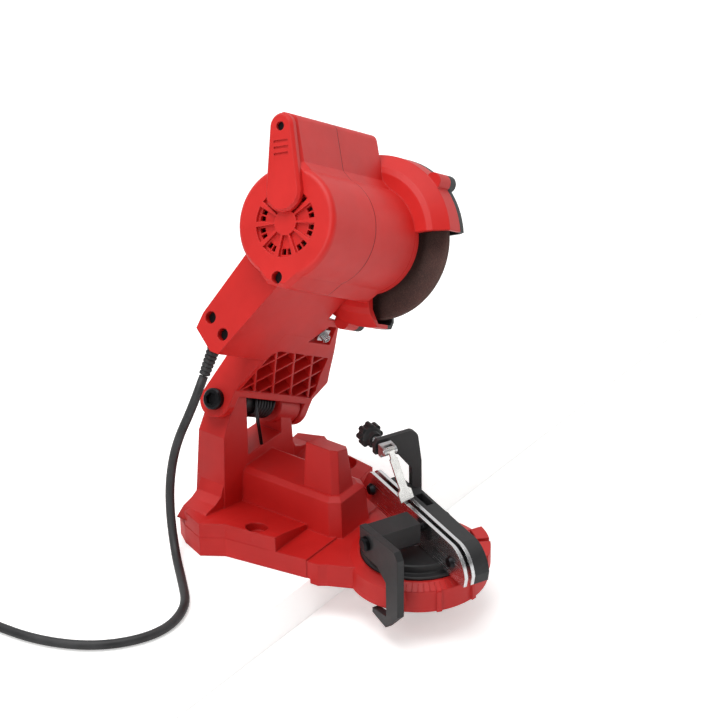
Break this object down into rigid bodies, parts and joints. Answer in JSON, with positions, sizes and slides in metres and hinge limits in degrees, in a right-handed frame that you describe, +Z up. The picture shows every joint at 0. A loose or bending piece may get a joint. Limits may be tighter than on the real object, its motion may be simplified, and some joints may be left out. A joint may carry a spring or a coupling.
{
  "type": "electric chainsaw sharpener",
  "caption": "Bench chainsaw sharpener: sprung tilting motor head with guarded grinding wheel over a swivelling chain vise with clamp lever and screw-set stop finger.",
  "frame": {"origin": "on the bench face, midway between the two bench screw holes", "axes": "+Z up, -Y to the front with the chain vise, +X to the right where the grinding wheel is"},
  "size_m": [0.4247, 0.3609, 0.3368],
  "materials": {
    "red_plastic": "satin moulded plastic",
    "red_casting": "satin moulded plastic, slightly textured",
    "black_plastic": "fine texture",
    "dark_plate": "satin black paint",
    "polished_steel": "polished",
    "zinc_steel": "zinc plated",
    "spring_steel": "oiled",
    "corundum": "gritty bonded grain",
    "magnet_ferrite": "matte",
    "core_steel": "laminated",
    "copper_alloy": "turned",
    "carbon": "sintered",
    "black_rubber": "satin",
    "plug_brass": "bright"
  },
  "bodies": {
    "base": {"base_casting": "red_casting", "hinge_bolt": "zinc_steel", "hinge_nut": "zinc_steel", "spring_bush": "black_plastic", "torsion_spring": "spring_steel", "cord_tube": "black_rubber", "cord_coil": "black_rubber", "mains_plug": "black_rubber", "plug_pins": "plug_brass"},
    "head": {"arm_yoke": "red_plastic", "depth_nut": "zinc_steel", "housing_screws": "zinc_steel", "switch_body": "black_plastic", "cable_clamp": "black_plastic", "strain_relief": "black_rubber", "motor_housing_left": "red_plastic", "motor_housing_right": "red_plastic", "guard_cover": "black_plastic", "guard_screws": "zinc_steel", "handle_cover": "black_plastic", "motor_can": "core_steel", "field_magnets": "magnet_ferrite", "brush_holders": "copper_alloy", "carbon_brushes": "carbon", "bearing_rear": "polished_steel", "bearing_front": "polished_steel"},
    "spindle": {"spindle_shaft": "zinc_steel", "armature_core": "core_steel", "commutator": "copper_alloy", "cooling_fan": "black_plastic", "wheel_flange_inner": "zinc_steel", "wheel_flange_outer": "zinc_steel", "grinding_wheel": "corundum", "spindle_nut": "zinc_steel"},
    "depth_stop": {"depth_screw": "zinc_steel"},
    "rocker": {"switch_rocker": "black_plastic"},
    "turntable": {"turntable_disc": "black_plastic", "turntable_bolt": "zinc_steel", "vise_jaw": "black_plastic", "rail_fixed": "polished_steel", "clamp_bolt": "zinc_steel", "stop_bracket": "black_plastic", "bracket_screws": "zinc_steel"},
    "near_rail": {"rail_moving": "polished_steel", "rail_pins": "zinc_steel"},
    "lever": {"clamp_lever": "black_plastic"},
    "adjuster": {"adjusting_screw": "zinc_steel", "star_knob": "black_plastic"},
    "carrier": {"finger_carrier": "zinc_steel", "finger_pin": "zinc_steel"},
    "finger": {"stop_finger": "zinc_steel"},
    "knob": {"lock_knob": "black_plastic"}
  },
  "joints": [
    {"name": "head_hinge", "type": "hinge", "parent": "base", "child": "head", "pos_m": [0.0126, 0.048, 0.0776], "axis": [0.8771, 0, -0.4802], "range_deg": [0, 32], "stiffness_Nm_per_rad": 2, "springref_deg": -40.11, "deforming": ["torsion_spring", "cord_tube"]},
    {"name": "spindle_spin", "type": "hinge", "parent": "head", "child": "spindle", "pos_m": [0.07748, -0.016, 0.1961], "axis": [0.8771, 0, -0.4802], "continuous": true},
    {"name": "depth_screw_slide", "type": "slide", "parent": "head", "child": "depth_stop", "axis": [-0.2381, -0.8684, -0.4349], "range_m": [0, 0.006]},
    {"name": "switch_rock", "type": "hinge", "parent": "head", "child": "rocker", "pos_m": [-0.01555, 0.0271, 0.19277], "axis": [-0.8771, 0, 0.4802], "range_deg": [-8, 8]},
    {"name": "turntable_swivel", "type": "hinge", "parent": "base", "child": "turntable", "pos_m": [0, -0.0996, 0.011], "axis": [0, 0, 1], "range_deg": [-45, 0]},
    {"name": "clamp_lever_turn", "type": "hinge", "parent": "turntable", "child": "lever", "pos_m": [-0.00378, -0.10777, 0.04], "axis": [-0.9078, 0.4194, 0], "range_deg": [0, 90]},
    {"name": "near_rail_slide", "type": "slide", "parent": "turntable", "child": "near_rail", "axis": [-0.9078, 0.4194, 0], "range_m": [0, 0.00121]},
    {"name": "adjuster_turn", "type": "hinge", "parent": "turntable", "child": "adjuster", "pos_m": [0.00829, -0.06377, 0.083], "axis": [-0.4194, -0.9078, 0], "range_deg": [-1350, 0]},
    {"name": "finger_carrier_slide", "type": "slide", "parent": "turntable", "child": "carrier", "axis": [-0.4194, -0.9078, 0], "range_m": [0, 0.0031]},
    {"name": "finger_flip", "type": "hinge", "parent": "carrier", "child": "finger", "pos_m": [0.00368, -0.07376, 0.084], "axis": [-0.9078, 0.4194, 0], "range_deg": [0, 55]},
    {"name": "lock_knob_turn", "type": "hinge", "parent": "turntable", "child": "knob", "pos_m": [0, -0.0996, -0.02], "axis": [0, 0, 1], "range_deg": [-360, 0]}
  ],
  "couplings": [
    {"joint": "near_rail_slide", "follows": "clamp_lever_turn", "m_per_rad": 0.00076394},
    {"joint": "finger_carrier_slide", "follows": "adjuster_turn", "m_per_rad": -0.00012732}
  ]
}
